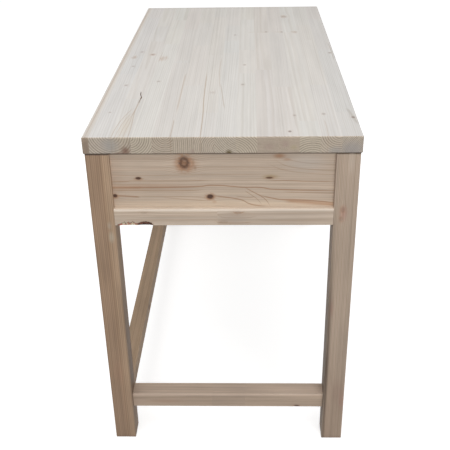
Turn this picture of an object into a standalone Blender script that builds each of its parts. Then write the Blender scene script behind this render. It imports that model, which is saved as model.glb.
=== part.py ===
"""A potting bench in laminated spruce.

A worktop of glued staves lies on a frame of four square legs. Each side of the frame has a
rail flush with the legs and a panel that stands on the rail, set back from its face. Two low
stretchers join the legs at the ends and one joins them along the back, so the front is open.
Cleats inside the panels hold the worktop, with screws from below.

Metres, +Z up. +X runs along the bench and +Y points to its back. The origin is on the floor,
under the middle of the worktop. Left and right are as seen from the front.
"""

import math

import bmesh
import bpy
from mathutils import Matrix, Vector

# Overall sizes
LENGTH = 1.200  # worktop, along X
WIDTH = 0.600  # worktop, along Y
HEIGHT = 0.860  # floor to the top of the worktop

# Worktop
TOP_THICK = 0.038
EDGE_STRIP = 0.015  # the ripped stave along the back edge
FULL_STAVES = 13
SIDE_OVERHANG = 0.003  # past the legs, front and back
END_OVERHANG = 0.0015  # past the legs, left and right
TOP_EASE = 0.002

# Frame
LEG = 0.052  # square section
RAIL = 0.042  # square section of the rails and the stretchers
PANEL_TALL = 0.135  # from the rails up to the worktop
STRETCHER_LOW = 0.100  # floor to the underside of the stretchers
BACK_STRETCHER_INSET = 0.003  # behind the legs' outer faces
FRAME_EASE = 0.0015
FOOT_EASE = 0.0025

# Panels between the rails and the worktop
PANEL_THICK = 0.018
PANEL_SETBACK = 0.0095  # behind the rails' faces
TONGUE_THICK = 0.009
TONGUE_LENGTH = 0.010

# Stub tenons
TENON_THICK = RAIL / 3
TENON_SHOULDER = 0.006  # above and below the tenon
TENON_WALL = 0.002  # wood left between two tenons in one leg

# Cleats and their screws
CLEAT = 0.028  # square section
CLEAT_SHORT = 0.020  # from a cleat's end to the leg
SCREW_ROOT = 0.00225  # shank radius
HEAD_RADIUS = 0.0045
HEAD_RIM = 0.0004
HEAD_TALL = 0.0032
TIP_LENGTH = 0.005
TOP_BITE = 0.022  # screw length inside the worktop
PANEL_BITE = 0.012  # screw length inside a panel
SCREW_END = 0.060  # from a cleat's end to its first pair of screws
SCREW_STAGGER = 0.020  # between the two screws of a pair
SCREW_SIDES = 12
END_PAIRS = 2
LONG_PAIRS = 4

# Clearances
GAP = 0.0003  # wherever one piece fits in, or seats on, another
CUT_PAST = 0.001  # how far a cutter starts outside the face that it enters
MERGE = 1e-6

# Worked out from the sizes above
STAVE_WIDTH = (WIDTH - EDGE_STRIP) / FULL_STAVES
TOP_UNDER = HEIGHT - TOP_THICK
FRAME_TOP = TOP_UNDER - GAP
RAIL_TOP = TOP_UNDER - PANEL_TALL
RAIL_LOW = RAIL_TOP - RAIL
OUTER_X = LENGTH / 2 - END_OVERHANG  # the legs' outer faces
OUTER_Y = WIDTH / 2 - SIDE_OVERHANG
END_STRETCHER_INSET = LEG - RAIL  # flush with the legs' inner faces
RAIL_TENON = LEG - (RAIL + TENON_THICK) / 2 - TENON_WALL
LOW_TENON = RAIL_TENON - BACK_STRETCHER_INSET
CLEAT_DEPTH = PANEL_SETBACK + PANEL_THICK + GAP

# Colours, linear
TOP_COLOUR = (0.65, 0.62, 0.58)
LEG_COLOUR = (0.36, 0.26, 0.18)
RAIL_COLOUR = (0.45, 0.36, 0.28)
PANEL_COLOUR = (0.44, 0.35, 0.27)
CLEAT_COLOUR = (0.48, 0.38, 0.27)
ZINC_COLOUR = (0.62, 0.60, 0.52)


class Side:
    """One side of the frame. s runs along it from its middle, and d goes inwards from the
    legs' outer faces."""

    def __init__(self, name, across, sign, stretcher_inset):
        self.name = name
        self.across = across  # the axis that d follows: 0 for an end, 1 for front or back
        self.sign = sign
        self.outer = (OUTER_X, OUTER_Y)[across]
        self.clear = (OUTER_Y, OUTER_X)[across] - LEG  # half the span between the legs
        self.pairs = (END_PAIRS, LONG_PAIRS)[across]
        self.stretcher_inset = stretcher_inset  # None where there is no low stretcher
        self.stretcher_tenon = (LOW_TENON, RAIL_TENON)[across]

    def point(self, s, d, z):
        place = [s, s, z]
        place[self.across] = self.sign * (self.outer - d)
        return Vector(place)

    def outward(self):
        place = [0, 0, 0]
        place[self.across] = self.sign
        return Vector(place)


LEFT = Side("left", 0, -1, END_STRETCHER_INSET)
RIGHT = Side("right", 0, 1, END_STRETCHER_INSET)
FRONT = Side("front", 1, -1, None)
BACK = Side("back", 1, 1, BACK_STRETCHER_INSET)
SIDES = (LEFT, RIGHT, FRONT, BACK)


def add_box(bm, one, other):
    """Adds a box between two opposite corners."""
    size = [abs(b - a) for a, b in zip(one, other)]
    middle = (Vector(one) + Vector(other)) / 2
    place = Matrix.Translation(middle) @ Matrix.Diagonal((*size, 1))
    bmesh.ops.create_cube(bm, size=1, matrix=place)


def ease(bm, edges, size, segments):
    bmesh.ops.bevel(
        bm, geom=edges, offset=size, offset_type="OFFSET", affect="EDGES",
        segments=segments, profile=0.5, material=-1,
    )


def edges_along(bm, axis):
    """The edges that run along one axis."""
    found = []
    for edge in bm.edges:
        run = edge.verts[1].co - edge.verts[0].co
        if abs(run[axis]) > 0.9 * run.length:
            found.append(edge)
    return found


def mesh_of(bm, name):
    mesh = bpy.data.meshes.new(name)
    bm.to_mesh(mesh)
    bm.free()
    return mesh


def finish(name, colour, roughness, metallic=0.0):
    material = bpy.data.materials.new(name)
    material.use_nodes = True
    shader = material.node_tree.nodes["Principled BSDF"]
    shader.inputs["Base Color"].default_value = (*colour, 1)
    shader.inputs["Roughness"].default_value = roughness
    shader.inputs["Metallic"].default_value = metallic
    return material


def add_object(name, mesh, colour, roughness=0.7, metallic=0.0):
    mesh.materials.append(finish(name, colour, roughness, metallic))
    thing = bpy.data.objects.new(name, mesh)
    bpy.context.scene.collection.objects.link(thing)
    thing.parent = bench
    return thing


def add_cutter(name, bm):
    cutter = bpy.data.objects.new(name, mesh_of(bm, name))
    bpy.context.scene.collection.objects.link(cutter)
    cutter.hide_render = True
    cutter.display_type = "WIRE"
    return cutter


def combine(thing, other, operation):
    step = thing.modifiers.new(other.name, "BOOLEAN")
    step.operation = operation
    step.object = other
    step.solver = "EXACT"


def turned(profile):
    """A closed solid turned round Z from (radius, height) points that start and end on Z."""
    bm = bmesh.new()
    points = [bm.verts.new((radius, 0, height)) for radius, height in profile]
    lines = [bm.edges.new(pair) for pair in zip(points, points[1:])]
    bmesh.ops.spin(
        bm, geom=points + lines, cent=(0, 0, 0), axis=(0, 0, 1),
        angle=math.tau, steps=SCREW_SIDES, use_merge=True,
    )
    bmesh.ops.remove_doubles(bm, verts=bm.verts[:], dist=MERGE)
    bmesh.ops.recalc_face_normals(bm, faces=bm.faces[:])
    return bm


def screw_mesh(length, grown=0.0):
    """A countersunk screw with its head at z = 0, pointing up Z. Grown, it is its own hole."""
    start = -CUT_PAST if grown else 0.0
    return turned([
        (0, start),
        (HEAD_RADIUS + grown, start),
        (HEAD_RADIUS + grown, HEAD_RIM),
        (SCREW_ROOT + grown, HEAD_TALL),
        (SCREW_ROOT + grown, length - TIP_LENGTH),
        (0, length + grown),
    ])


# Worktop

def stave_lines():
    """Y of each stave's two faces, from the back edge to the front one."""
    lines = [WIDTH / 2, WIDTH / 2 - EDGE_STRIP]
    for count in range(1, FULL_STAVES + 1):
        lines.append(WIDTH / 2 - EDGE_STRIP - count * STAVE_WIDTH)
    return lines


def saw(bm, y, keep):
    """Cuts the worktop at a glue line, keeps the part on one side and closes the cut."""
    cut = bmesh.ops.bisect_plane(
        bm, geom=bm.verts[:] + bm.edges[:] + bm.faces[:], dist=MERGE,
        plane_co=(0, y, 0), plane_no=(0, -keep, 0), clear_outer=True,
    )["geom_cut"]
    for part in cut:
        if isinstance(part, bmesh.types.BMVert):
            part.co.y = y
    bmesh.ops.holes_fill(bm, edges=[e for e in bm.edges if e.is_boundary])


def make_staves():
    """The worktop is eased as one slab and then split at its glue lines, so that the faces
    of two neighbours meet exactly."""
    slab = bmesh.new()
    low = (-LENGTH / 2, -WIDTH / 2, TOP_UNDER)
    add_box(slab, low, (LENGTH / 2, WIDTH / 2, HEIGHT))
    ease(slab, slab.edges[:], TOP_EASE, 3)
    lines = stave_lines()
    staves = []
    for number, (back, front) in enumerate(zip(lines, lines[1:]), start=1):
        bm = slab.copy()
        if number > 1:
            saw(bm, back, keep=-1)
        if number <= FULL_STAVES:
            saw(bm, front, keep=1)
        name = f"top_stave_{number:02d}"
        staves.append((add_object(name, mesh_of(bm, name), TOP_COLOUR), front, back))
    slab.free()
    return staves


# Frame

def make_rail(side, name, inset, low, tenon, colour):
    """A square bar between two legs, with a stub tenon at each end."""
    reach = side.clear - GAP
    bm = bmesh.new()
    add_box(bm, side.point(-reach, inset, low), side.point(reach, inset + RAIL, low + RAIL))
    ease(bm, edges_along(bm, 1 - side.across), FRAME_EASE, 2)
    bar = add_object(name, mesh_of(bm, name), colour)
    bm = bmesh.new()
    middle = inset + RAIL / 2
    add_box(
        bm,
        side.point(-side.clear - tenon, middle - TENON_THICK / 2, low + TENON_SHOULDER),
        side.point(side.clear + tenon, middle + TENON_THICK / 2, low + RAIL - TENON_SHOULDER),
    )
    combine(bar, add_cutter(name + "_tenons", bm), "UNION")
    return bar


def make_panel(side):
    """A panel with a tongue up each end. Its plan is drawn once and raised."""
    reach = side.clear - GAP
    tip = side.clear + TONGUE_LENGTH
    inner = PANEL_SETBACK + PANEL_THICK
    step = (PANEL_THICK - TONGUE_THICK) / 2
    half = [
        (reach, PANEL_SETBACK),
        (reach, PANEL_SETBACK + step),
        (tip, PANEL_SETBACK + step),
        (tip, inner - step),
        (reach, inner - step),
        (reach, inner),
    ]
    outline = half + [(-s, d) for s, d in reversed(half)]
    low = RAIL_TOP + GAP
    bm = bmesh.new()
    face = bm.faces.new([bm.verts.new(side.point(s, d, low)) for s, d in outline])
    raised = bmesh.ops.extrude_face_region(bm, geom=[face])["geom"]
    raised = [part for part in raised if isinstance(part, bmesh.types.BMVert)]
    bmesh.ops.translate(bm, verts=raised, vec=(0, 0, FRAME_TOP - low))
    bmesh.ops.recalc_face_normals(bm, faces=bm.faces[:])
    name = side.name + "_panel"
    return add_object(name, mesh_of(bm, name), PANEL_COLOUR)


def cut_mortise(bm, side, end, inset, low, tenon):
    """Room in a leg for one tenon of a rail or a stretcher."""
    middle = inset + RAIL / 2
    half = TENON_THICK / 2 + GAP
    add_box(
        bm,
        side.point(end * (side.clear - CUT_PAST), middle - half, low + TENON_SHOULDER - GAP),
        side.point(end * (side.clear + tenon + GAP), middle + half,
                   low + RAIL - TENON_SHOULDER + GAP),
    )


def cut_groove(bm, side, end):
    """Room in a leg for a panel's tongue, open at the leg's top."""
    middle = PANEL_SETBACK + PANEL_THICK / 2
    half = TONGUE_THICK / 2 + GAP
    add_box(
        bm,
        side.point(end * (side.clear - CUT_PAST), middle - half, RAIL_TOP),
        side.point(end * (side.clear + TONGUE_LENGTH + GAP), middle + half,
                   FRAME_TOP + CUT_PAST),
    )


def make_leg(end_side, long_side):
    """A square post, mortised and grooved on its two inner faces."""
    name = f"leg_{long_side.name}_{end_side.name}"
    outer = (end_side.sign * OUTER_X, long_side.sign * OUTER_Y)
    inner = (end_side.sign * (OUTER_X - LEG), long_side.sign * (OUTER_Y - LEG))
    bm = bmesh.new()
    add_box(bm, (*outer, 0), (*inner, FRAME_TOP))
    ease(bm, edges_along(bm, 2), FRAME_EASE, 2)
    foot = [e for e in bm.edges if all(v.co.z < MERGE for v in e.verts)]
    ease(bm, foot, FOOT_EASE, 1)
    leg = add_object(name, mesh_of(bm, name), LEG_COLOUR)

    bm = bmesh.new()
    for side, end in ((end_side, long_side.sign), (long_side, end_side.sign)):
        cut_mortise(bm, side, end, 0, RAIL_LOW, RAIL_TENON)
        cut_groove(bm, side, end)
        if side.stretcher_inset is not None:
            cut_mortise(bm, side, end, side.stretcher_inset, STRETCHER_LOW,
                        side.stretcher_tenon)
    combine(leg, add_cutter(name + "_joints", bm), "DIFFERENCE")


# Cleats and screws

def screw_places(side):
    """Where each screw's head sits and which way the screw points: one that goes up into
    the worktop and one that goes out into the panel, in pairs along the cleat."""
    span = side.clear - CLEAT_SHORT - SCREW_END
    places = []
    for count in range(side.pairs):
        s = span * (2 * count / (side.pairs - 1) - 1)
        up = side.point(s - SCREW_STAGGER / 2, CLEAT_DEPTH + CLEAT / 2, FRAME_TOP - CLEAT)
        out = side.point(s + SCREW_STAGGER / 2, CLEAT_DEPTH + CLEAT, FRAME_TOP - CLEAT / 2)
        places.append(("top", count + 1, up, Vector((0, 0, 1))))
        places.append(("cleat", count + 1, out, side.outward()))
    return places


def placed(at, pointing):
    turn = Vector((0, 0, 1)).rotation_difference(pointing)
    return Matrix.Translation(at) @ turn.to_matrix().to_4x4()


def make_cleat(side, panel, staves):
    """A batten inside the panel, its screws, and their holes in all that they pass."""
    lengths = {"top": CLEAT + GAP + TOP_BITE, "cleat": CLEAT + GAP + PANEL_BITE}
    reach = side.clear - CLEAT_SHORT
    bm = bmesh.new()
    add_box(
        bm,
        side.point(-reach, CLEAT_DEPTH, FRAME_TOP - CLEAT),
        side.point(reach, CLEAT_DEPTH + CLEAT, FRAME_TOP),
    )
    ease(bm, edges_along(bm, 1 - side.across), FRAME_EASE, 1)
    name = side.name + "_cleat"
    cleat = add_object(name, mesh_of(bm, name), CLEAT_COLOUR)

    holes = bmesh.new()
    for kind, count, at, pointing in screw_places(side):
        name = f"{kind}_screw_{side.name}_{count}"
        mesh = mesh_of(screw_mesh(lengths[kind]), name)
        screw = add_object(name, mesh, ZINC_COLOUR, roughness=0.35, metallic=1.0)
        screw.matrix_basis = placed(at, pointing)
        hole = screw_mesh(lengths[kind], grown=GAP)
        hole.transform(placed(at, pointing))
        mesh = mesh_of(hole, name + "_hole")
        holes.from_mesh(mesh)
        bpy.data.meshes.remove(mesh)
    cutter = add_cutter(side.name + "_screw_holes", holes)
    combine(cleat, cutter, "DIFFERENCE")
    combine(panel, cutter, "DIFFERENCE")
    for stave, front, back in staves:
        for kind, _, at, _ in screw_places(side):
            if kind == "top" and front - SCREW_ROOT - GAP < at.y < back + SCREW_ROOT + GAP:
                combine(stave, cutter, "DIFFERENCE")
                break


def build():
    staves = make_staves()
    for side in SIDES:
        make_rail(side, side.name + "_rail", 0, RAIL_LOW, RAIL_TENON, RAIL_COLOUR)
        if side.stretcher_inset is not None:
            make_rail(side, side.name + "_stretcher", side.stretcher_inset, STRETCHER_LOW,
                      side.stretcher_tenon, RAIL_COLOUR)
        make_cleat(side, make_panel(side), staves)
    for end_side in (LEFT, RIGHT):
        for long_side in (FRONT, BACK):
            make_leg(end_side, long_side)


for leftover in list(bpy.data.objects):
    bpy.data.objects.remove(leftover, do_unlink=True)

bench = bpy.data.objects.new("bench", None)
bpy.context.scene.collection.objects.link(bench)
build()
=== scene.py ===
# %% [markdown]
# # A potting bench in laminated spruce
#
# The bench is bare spruce: a worktop glued from staves, on a frame of square legs, rails,
# panels and low stretchers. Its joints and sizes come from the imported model. This lesson
# gives every piece its grain, its knots and its wear, and remodels the few pieces whose
# surface is more than a flat face.

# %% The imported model
import math

import bmesh
import bpy
from mathutils import Matrix, Vector


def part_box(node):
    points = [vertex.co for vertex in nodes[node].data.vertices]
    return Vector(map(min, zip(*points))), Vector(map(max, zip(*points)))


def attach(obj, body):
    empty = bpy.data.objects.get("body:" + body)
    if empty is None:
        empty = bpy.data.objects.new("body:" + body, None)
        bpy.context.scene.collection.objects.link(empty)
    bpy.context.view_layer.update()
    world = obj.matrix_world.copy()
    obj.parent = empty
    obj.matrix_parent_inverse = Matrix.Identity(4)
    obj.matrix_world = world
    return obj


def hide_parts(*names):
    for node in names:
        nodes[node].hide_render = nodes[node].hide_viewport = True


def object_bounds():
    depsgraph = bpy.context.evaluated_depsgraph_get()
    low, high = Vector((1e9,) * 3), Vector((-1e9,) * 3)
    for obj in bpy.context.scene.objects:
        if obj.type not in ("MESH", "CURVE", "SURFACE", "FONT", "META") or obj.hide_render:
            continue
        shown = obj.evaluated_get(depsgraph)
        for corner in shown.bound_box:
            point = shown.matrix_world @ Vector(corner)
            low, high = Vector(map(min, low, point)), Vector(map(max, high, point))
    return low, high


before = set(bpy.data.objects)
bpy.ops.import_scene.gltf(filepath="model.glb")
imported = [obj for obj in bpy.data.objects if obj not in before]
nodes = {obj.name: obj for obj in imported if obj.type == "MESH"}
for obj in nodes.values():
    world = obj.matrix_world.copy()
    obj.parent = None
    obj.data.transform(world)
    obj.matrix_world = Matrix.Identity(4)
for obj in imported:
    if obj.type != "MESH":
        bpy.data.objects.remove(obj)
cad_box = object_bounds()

print(len(nodes), "nodes, box", [tuple(round(v, 4) for v in corner) for corner in cad_box])

# %% [markdown]
# A maker finds a place on this bench with three measures: along it from its left end,
# across it from its back edge, and down from its worktop. The model's own axes run +X to
# the right, +Y to the back and +Z up, so one short function turns the first into the
# second, and every knot and mark below can be given the way it would be measured.

# %% Measuring from the left end, the back edge and the worktop
LEFT_END = cad_box[0].x
BACK_EDGE = cad_box[1].y
WORKTOP = cad_box[1].z
MM = 0.001


def spot(along, across, down):
    """A point, from millimetres along, across and down."""
    return Vector((LEFT_END + along * MM, BACK_EDGE - across * MM, WORKTOP - down * MM))


print("middle of the worktop:", tuple(spot(600, 300, 0)))

# %% [markdown]
# The camera stands off the left end, a little above the worktop and looking down on it, as
# someone would who walks up to the bench. A long lens from two metres keeps the far end
# nearly as wide as the near one. Its pose is three turns, kept apart so that each can be
# read: how far it looks down, how far it is turned aside, and how far it leans. The picture
# is also slid a little behind the lens, as a view camera's is.

# %% Camera
CAMERA_FROM_LEFT_END = 1.449
CAMERA_ACROSS = 0.3578
CAMERA_ABOVE_WORKTOP = 0.6027
LOOKS_DOWN = math.radians(27.234)
TURNED_ASIDE = math.radians(1.696)
LEANS = math.radians(-0.969)
LENS_MM = 59.2
SLID_ASIDE = -0.0108
SLID_DOWN = -0.0613

camera = bpy.data.objects.new("camera", bpy.data.cameras.new("camera"))
camera.data.lens = LENS_MM
camera.data.sensor_width = 36
camera.data.shift_x = SLID_ASIDE
camera.data.shift_y = SLID_DOWN
camera.matrix_world = (
    Matrix.Translation((
        LEFT_END - CAMERA_FROM_LEFT_END,
        BACK_EDGE - CAMERA_ACROSS,
        WORKTOP + CAMERA_ABOVE_WORKTOP,
    ))
    @ Matrix.Rotation(TURNED_ASIDE - math.pi / 2, 4, "Z")
    @ Matrix.Rotation(math.pi / 2 - LOOKS_DOWN, 4, "X")
    @ Matrix.Rotation(LEANS, 4, "Z")
)
bpy.context.scene.collection.objects.link(camera)
bpy.context.scene.camera = camera
print("camera at", tuple(round(v, 3) for v in camera.matrix_world.translation))

# %% [markdown]
# Shader maths reads best as arithmetic. A *wire* is one output in a material's node tree:
# adding, taking away or multiplying wires adds the Math nodes, and any other node comes
# from one method that is given its type, its settings and its inputs.

# %% Wires


class Wire:
    """An output in a node tree, with arithmetic."""

    def __init__(self, tree, socket):
        self.tree = tree
        self.socket = socket

    def node(self, kind, settings=None, inputs=None, output=0):
        made = self.tree.nodes.new("ShaderNode" + kind)
        for name, value in (settings or {}).items():
            setattr(made, name, value)
        for name, value in (inputs or {}).items():
            if isinstance(value, Wire):
                self.tree.links.new(value.socket, made.inputs[name])
            else:
                made.inputs[name].default_value = value
        return Wire(self.tree, made.outputs[output])

    def math(self, operation, *values):
        return self.node("Math", {"operation": operation}, dict(enumerate(values)))

    def __add__(self, other):
        return self.math("ADD", self, other)

    __radd__ = __add__

    def __sub__(self, other):
        return self.math("SUBTRACT", self, other)

    def __rsub__(self, other):
        return self.math("SUBTRACT", other, self)

    def __mul__(self, other):
        return self.math("MULTIPLY", self, other)

    __rmul__ = __mul__

    def __truediv__(self, other):
        return self.math("DIVIDE", self, other)

    def __abs__(self):
        return self.math("ABSOLUTE", self)

    def least(self, other):
        return self.math("MINIMUM", self, other)

    def most(self, other):
        return self.math("MAXIMUM", self, other)

    def ramp(self, start, end):
        """0 at start and 1 at end, with soft ends. start may be the higher."""
        return self.node(
            "MapRange", {"interpolation_type": "SMOOTHSTEP"},
            {"Value": self, "From Min": start, "From Max": end},
        )

    def curve(self, points):
        """The height, at this wire, of a smooth line through (place, height) points."""
        low, high = points[0][0], points[-1][0]
        heights = [height for _, height in points]
        rise = max(max(heights) - min(heights), 1e-6)
        made = self.node("FloatCurve", None, {"Value": (self - low) / (high - low)})
        mapping = made.socket.node.mapping
        line = mapping.curves[0].points
        for _ in points[2:]:
            line.new(0.5, 0.5)
        for point, (place, height) in zip(line, points):
            point.location = ((place - low) / (high - low), (height - min(heights)) / rise)
        mapping.update()
        return made * rise + min(heights)

    def vector(self, operation, *values, output=0):
        return self.node("VectorMath", {"operation": operation}, dict(enumerate(values)), output)

    def length(self):
        return self.vector("LENGTH", self, output="Value")

    def axis(self, number):
        return self.node("SeparateXYZ", None, {0: self}, number)

    def noise(self, stretch, seed, detail=2.0, output="Fac"):
        """Noise whose lumps measure 1 / stretch along each axis."""
        place = self.vector("MULTIPLY_ADD", self, stretch, (seed, seed * 1.7, seed * 0.6))
        return self.node("TexNoise", None, {"Vector": place, "Scale": 1, "Detail": detail}, output)

    def paint(self, under, over, mode="MIX"):
        """Lays one colour over another, with this wire as the mask."""
        return self.node(
            "Mix", {"data_type": "RGBA", "blend_type": mode}, {0: self, 6: under, 7: over}, 2,
        )


def colour(red, green, blue):
    return (red, green, blue, 1)


def new_material(name):
    """A material, its shader node, and a wire that carries Object coordinates."""
    material = bpy.data.materials.new(name)
    material.use_nodes = True
    tree = material.node_tree
    coordinates = tree.nodes.new("ShaderNodeTexCoord")
    place = Wire(tree, coordinates.outputs["Object"])
    return material, tree.nodes["Principled BSDF"], place


def join(shader, **wires):
    for name, wire in wires.items():
        wire.tree.links.new(wire.socket, shader.inputs[name.replace("_", " ")])


print("wires ready")

# %% [markdown]
# Spruce grows a pale layer each spring and a narrow brown one each summer, so its colour
# depends on one number, the distance from the heart of the tree. Every face then shows what
# a saw would show: arcs on a cut end, straight lines on a quarter-sawn face, and pointed
# arches where the cut runs nearly along a ring. The whole pattern is worked out in space,
# from Object coordinates, so that it runs round the arrises of a piece without a seam.
#
# A piece's *grain frame* has the grain first and then its two cross directions. The pith,
# the knots and the marks of a piece are all turned into that frame.

# %% Grain frame
ORDER = {"x": (0, 1, 2), "y": (1, 0, 2), "z": (2, 0, 1)}


def in_grain(point, grain):
    return Vector([point[axis] for axis in ORDER[grain]])


def grain_axis(axis, grain):
    """Where a model axis comes in the grain frame."""
    return ORDER[grain].index("xyz".index(axis))


def grain_place(place, grain):
    return place.node(
        "CombineXYZ", None, {place_in: place.axis(axis) for place_in, axis in enumerate(ORDER[grain])}
    )


print("a leg's frame, in model axes:", ["xyz"[axis] for axis in ORDER["z"]])

# %% [markdown]
# Four kinds of thing interrupt plain grain. All are given as points on the piece, with their
# sizes in millimetres, and `facing` is the model axis that they are seen along:
#
# - a **knot** is a branch that ran straight out of the tree, so the grain flows round it
# - a **vein** is one hard brown summer layer, drawn as a smooth line through points
# - a **patch** is a soft area of another colour: pitch, weather, dirt, painted shade or a painted
#   highlight
# - a **joint** is where two blocks are glued, so the rings jump and the tint changes

# %% What interrupts the grain
from collections import namedtuple

KNOT_WOOD = colour(0.17, 0.092, 0.052)
KNOT_RIM = colour(0.07, 0.034, 0.024)
HALO = colour(0.43, 0.235, 0.135)
VEIN_BROWN = colour(0.30, 0.185, 0.11)
# Dark brown for dirt in the pores of cut ends, and for painted shade under the worktop and in the left
# panel's corner
DIRT_AND_SHADE = colour(0.055, 0.036, 0.026)

Knot = namedtuple("Knot", "at facing radius long core rim halo", defaults=(1.2, 0.8, 0.6, 0.4))
Vein = namedtuple("Vein", "points facing width dark tint", defaults=(1.5, 0.6, VEIN_BROWN))
Patch = namedtuple("Patch", "at size tint strength", defaults=(0.5,))
Joint = namedtuple("Joint", "at axis tint shift")


def flow_round(place, knot, grain):
    """Bends the grain round a knot: each point looks nearer to the knot than it is."""
    beside = 3 - grain_axis(knot.facing, grain)
    reach = [1 / (3.6 * knot.long * knot.radius * MM), 0, 0]
    reach[beside] = 1 / (2.3 * knot.radius * MM)
    pull = [0, 0, 0]
    pull[beside] = -0.75
    away = place.vector("SUBTRACT", place, in_grain(knot.at, grain))
    near = away.vector("MULTIPLY", away, reach).length().ramp(1.7, 0)
    step = away.vector("MULTIPLY", away, pull)
    step = step.node("VectorMath", {"operation": "SCALE"}, {0: step, "Scale": near})
    return place.vector("ADD", place, step)


# A knot no bigger than this is dark right through, and a bigger one only round its rim
DARK_THROUGH = 6


def knot_masks(place, knot, grain, wobble):
    """The knot's wood, the bark round it, and the reddish halo of resin."""
    size = [1 / (knot.long * knot.radius * MM)] + [1 / (knot.radius * MM)] * 2
    size[grain_axis(knot.facing, grain)] = 0
    away = place.vector("SUBTRACT", place, in_grain(knot.at, grain))
    out = away.vector("MULTIPLY", away, size).length() + (wobble - 0.5) * 0.9
    wood = out.ramp(1.1, 0.8)
    rim = out.ramp(1.65, 0.85)
    if knot.radius > DARK_THROUGH:
        rim = rim * out.ramp(0.30, 0.85)
    halo = out.ramp(2.9, 0.9) * wobble.ramp(0.30, 0.62)
    return wood * knot.core, rim * knot.rim, halo * knot.halo


def vein_mask(place, vein, grain):
    """A line through the vein's points, that fades at both ends."""
    beside = 3 - grain_axis(vein.facing, grain)
    spots = sorted(tuple(in_grain(point, grain)) for point in vein.points)
    run = place.axis(0)
    line = run.curve([(point[0], point[beside]) for point in spots])
    start, end = spots[0][0], spots[-1][0]
    fade = (end - start) * 0.12
    ends = run.ramp(start - fade, start + fade) * run.ramp(end + fade, end - fade)
    return abs(place.axis(beside) - line).ramp(vein.width * MM, 0) * ends * vein.dark


def patch_mask(place, stain, grain):
    shape = [1 / (size * MM) for size in in_grain(stain.size, grain)]
    away = place.vector("SUBTRACT", place, in_grain(stain.at, grain))
    return away.vector("MULTIPLY", away, shape).length().ramp(1, 0.1) * stain.strength


def past_joint(place, joint, grain):
    """1 beyond the joint. A joint across the grain is cut in fingers 3 mm wide."""
    number = grain_axis(joint.axis, grain)
    here = place.axis(number)
    if number == 0:
        across = place.axis(2 if joint.axis == "x" else 1)
        here = here + across.math("PINGPONG", across, 0.003) * 2.5
    cut = in_grain(joint.at, grain)[number]
    return here.ramp(cut, cut + 0.0006)


print("knots, veins, stains and joints ready")

# %% [markdown]
# One function then finishes any stick of timber. In order, it bends space a little, because
# no tree is straight, lets the grain flow round the knots, counts rings from the pith, and
# lays on the fibre, the marks and the worn arrises. Its look is set by a few numbers that
# are kept together in one tuple, so that a kind of wood can be described once and varied.

# %% A kind of wood
Wood = namedtuple(
    "Wood", "early late end_early end_late rings end_rings fibre streak cloud worn arris rough",
)

# The worktop is bleached: its rings hardly show from above, but its cut ends keep them
BLEACHED = Wood(
    early=colour(0.665, 0.645, 0.622), late=colour(0.51, 0.47, 0.42),
    end_early=colour(0.625, 0.548, 0.455), end_late=colour(0.24, 0.18, 0.13),
    rings=0.45, end_rings=0.74, fibre=0.06, streak=0.10, cloud=0.07,
    worn=0.4, arris=colour(0.70, 0.67, 0.63), rough=0.70,
)
# The frame is bare wood that has gone a dull brown
BARE = Wood(
    early=colour(0.645, 0.53, 0.43), late=colour(0.42, 0.30, 0.205),
    end_early=colour(0.42, 0.33, 0.25), end_late=colour(0.24, 0.17, 0.115),
    rings=0.7, end_rings=1.0, fibre=0.12, streak=0.26, cloud=0.18,
    worn=0.6, arris=colour(0.76, 0.64, 0.52), rough=0.66,
)
PANEL = BARE._replace(early=colour(0.612, 0.497, 0.397), late=colour(0.44, 0.30, 0.20), rings=0.6)
BROWN = BARE._replace(
    early=colour(0.475, 0.333, 0.225), late=colour(0.29, 0.185, 0.112), rings=0.95, cloud=0.28,
    arris=colour(0.52, 0.39, 0.28),
)
DULL = BARE._replace(
    early=colour(0.50, 0.395, 0.31), late=colour(0.36, 0.26, 0.185), rings=0.8, cloud=0.22,
    arris=colour(0.60, 0.49, 0.40),
)
WARP_MM = 2.2
RIPPLE_MM = 0.35


def bend(place, seed):
    """Slow bends over a decimetre, and small ripples over a few millimetres."""
    for stretch, sway, shift in (((1.6, 9, 9), WARP_MM, 0), ((9, 60, 60), RIPPLE_MM, 3.1)):
        push = place.noise(stretch, seed + shift, 1.0, "Color")
        place = place.vector("MULTIPLY_ADD", push, (0, 2 * sway * MM, 2 * sway * MM), place)
    return place


def ring_count(place, heart, lean, ring, seed):
    """How many rings lie between a point and the pith, which may lean as it runs along."""
    away = place.vector("SUBTRACT", place, (0, heart[1], heart[2]))
    drift = place.axis(0) - heart[0]
    drift = drift.node("CombineXYZ", None, {1: drift * -lean[0], 2: drift * -lean[1]})
    away = away.vector("ADD", away, drift)
    return away.vector("MULTIPLY", away, (0, 1, 1)).length() / (ring * MM) + seed


def summer_wood(count):
    """0 in spring wood, rising to 1 at each ring's hard outer edge, and a number for each ring."""
    number = count.math("FLOOR", count)
    phase = count - number
    luck = count.node("TexWhiteNoise", {"noise_dimensions": "1D"}, {"W": number})
    return phase.ramp(0.22, 0.80) * phase.ramp(1.0, 0.90), luck


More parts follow.
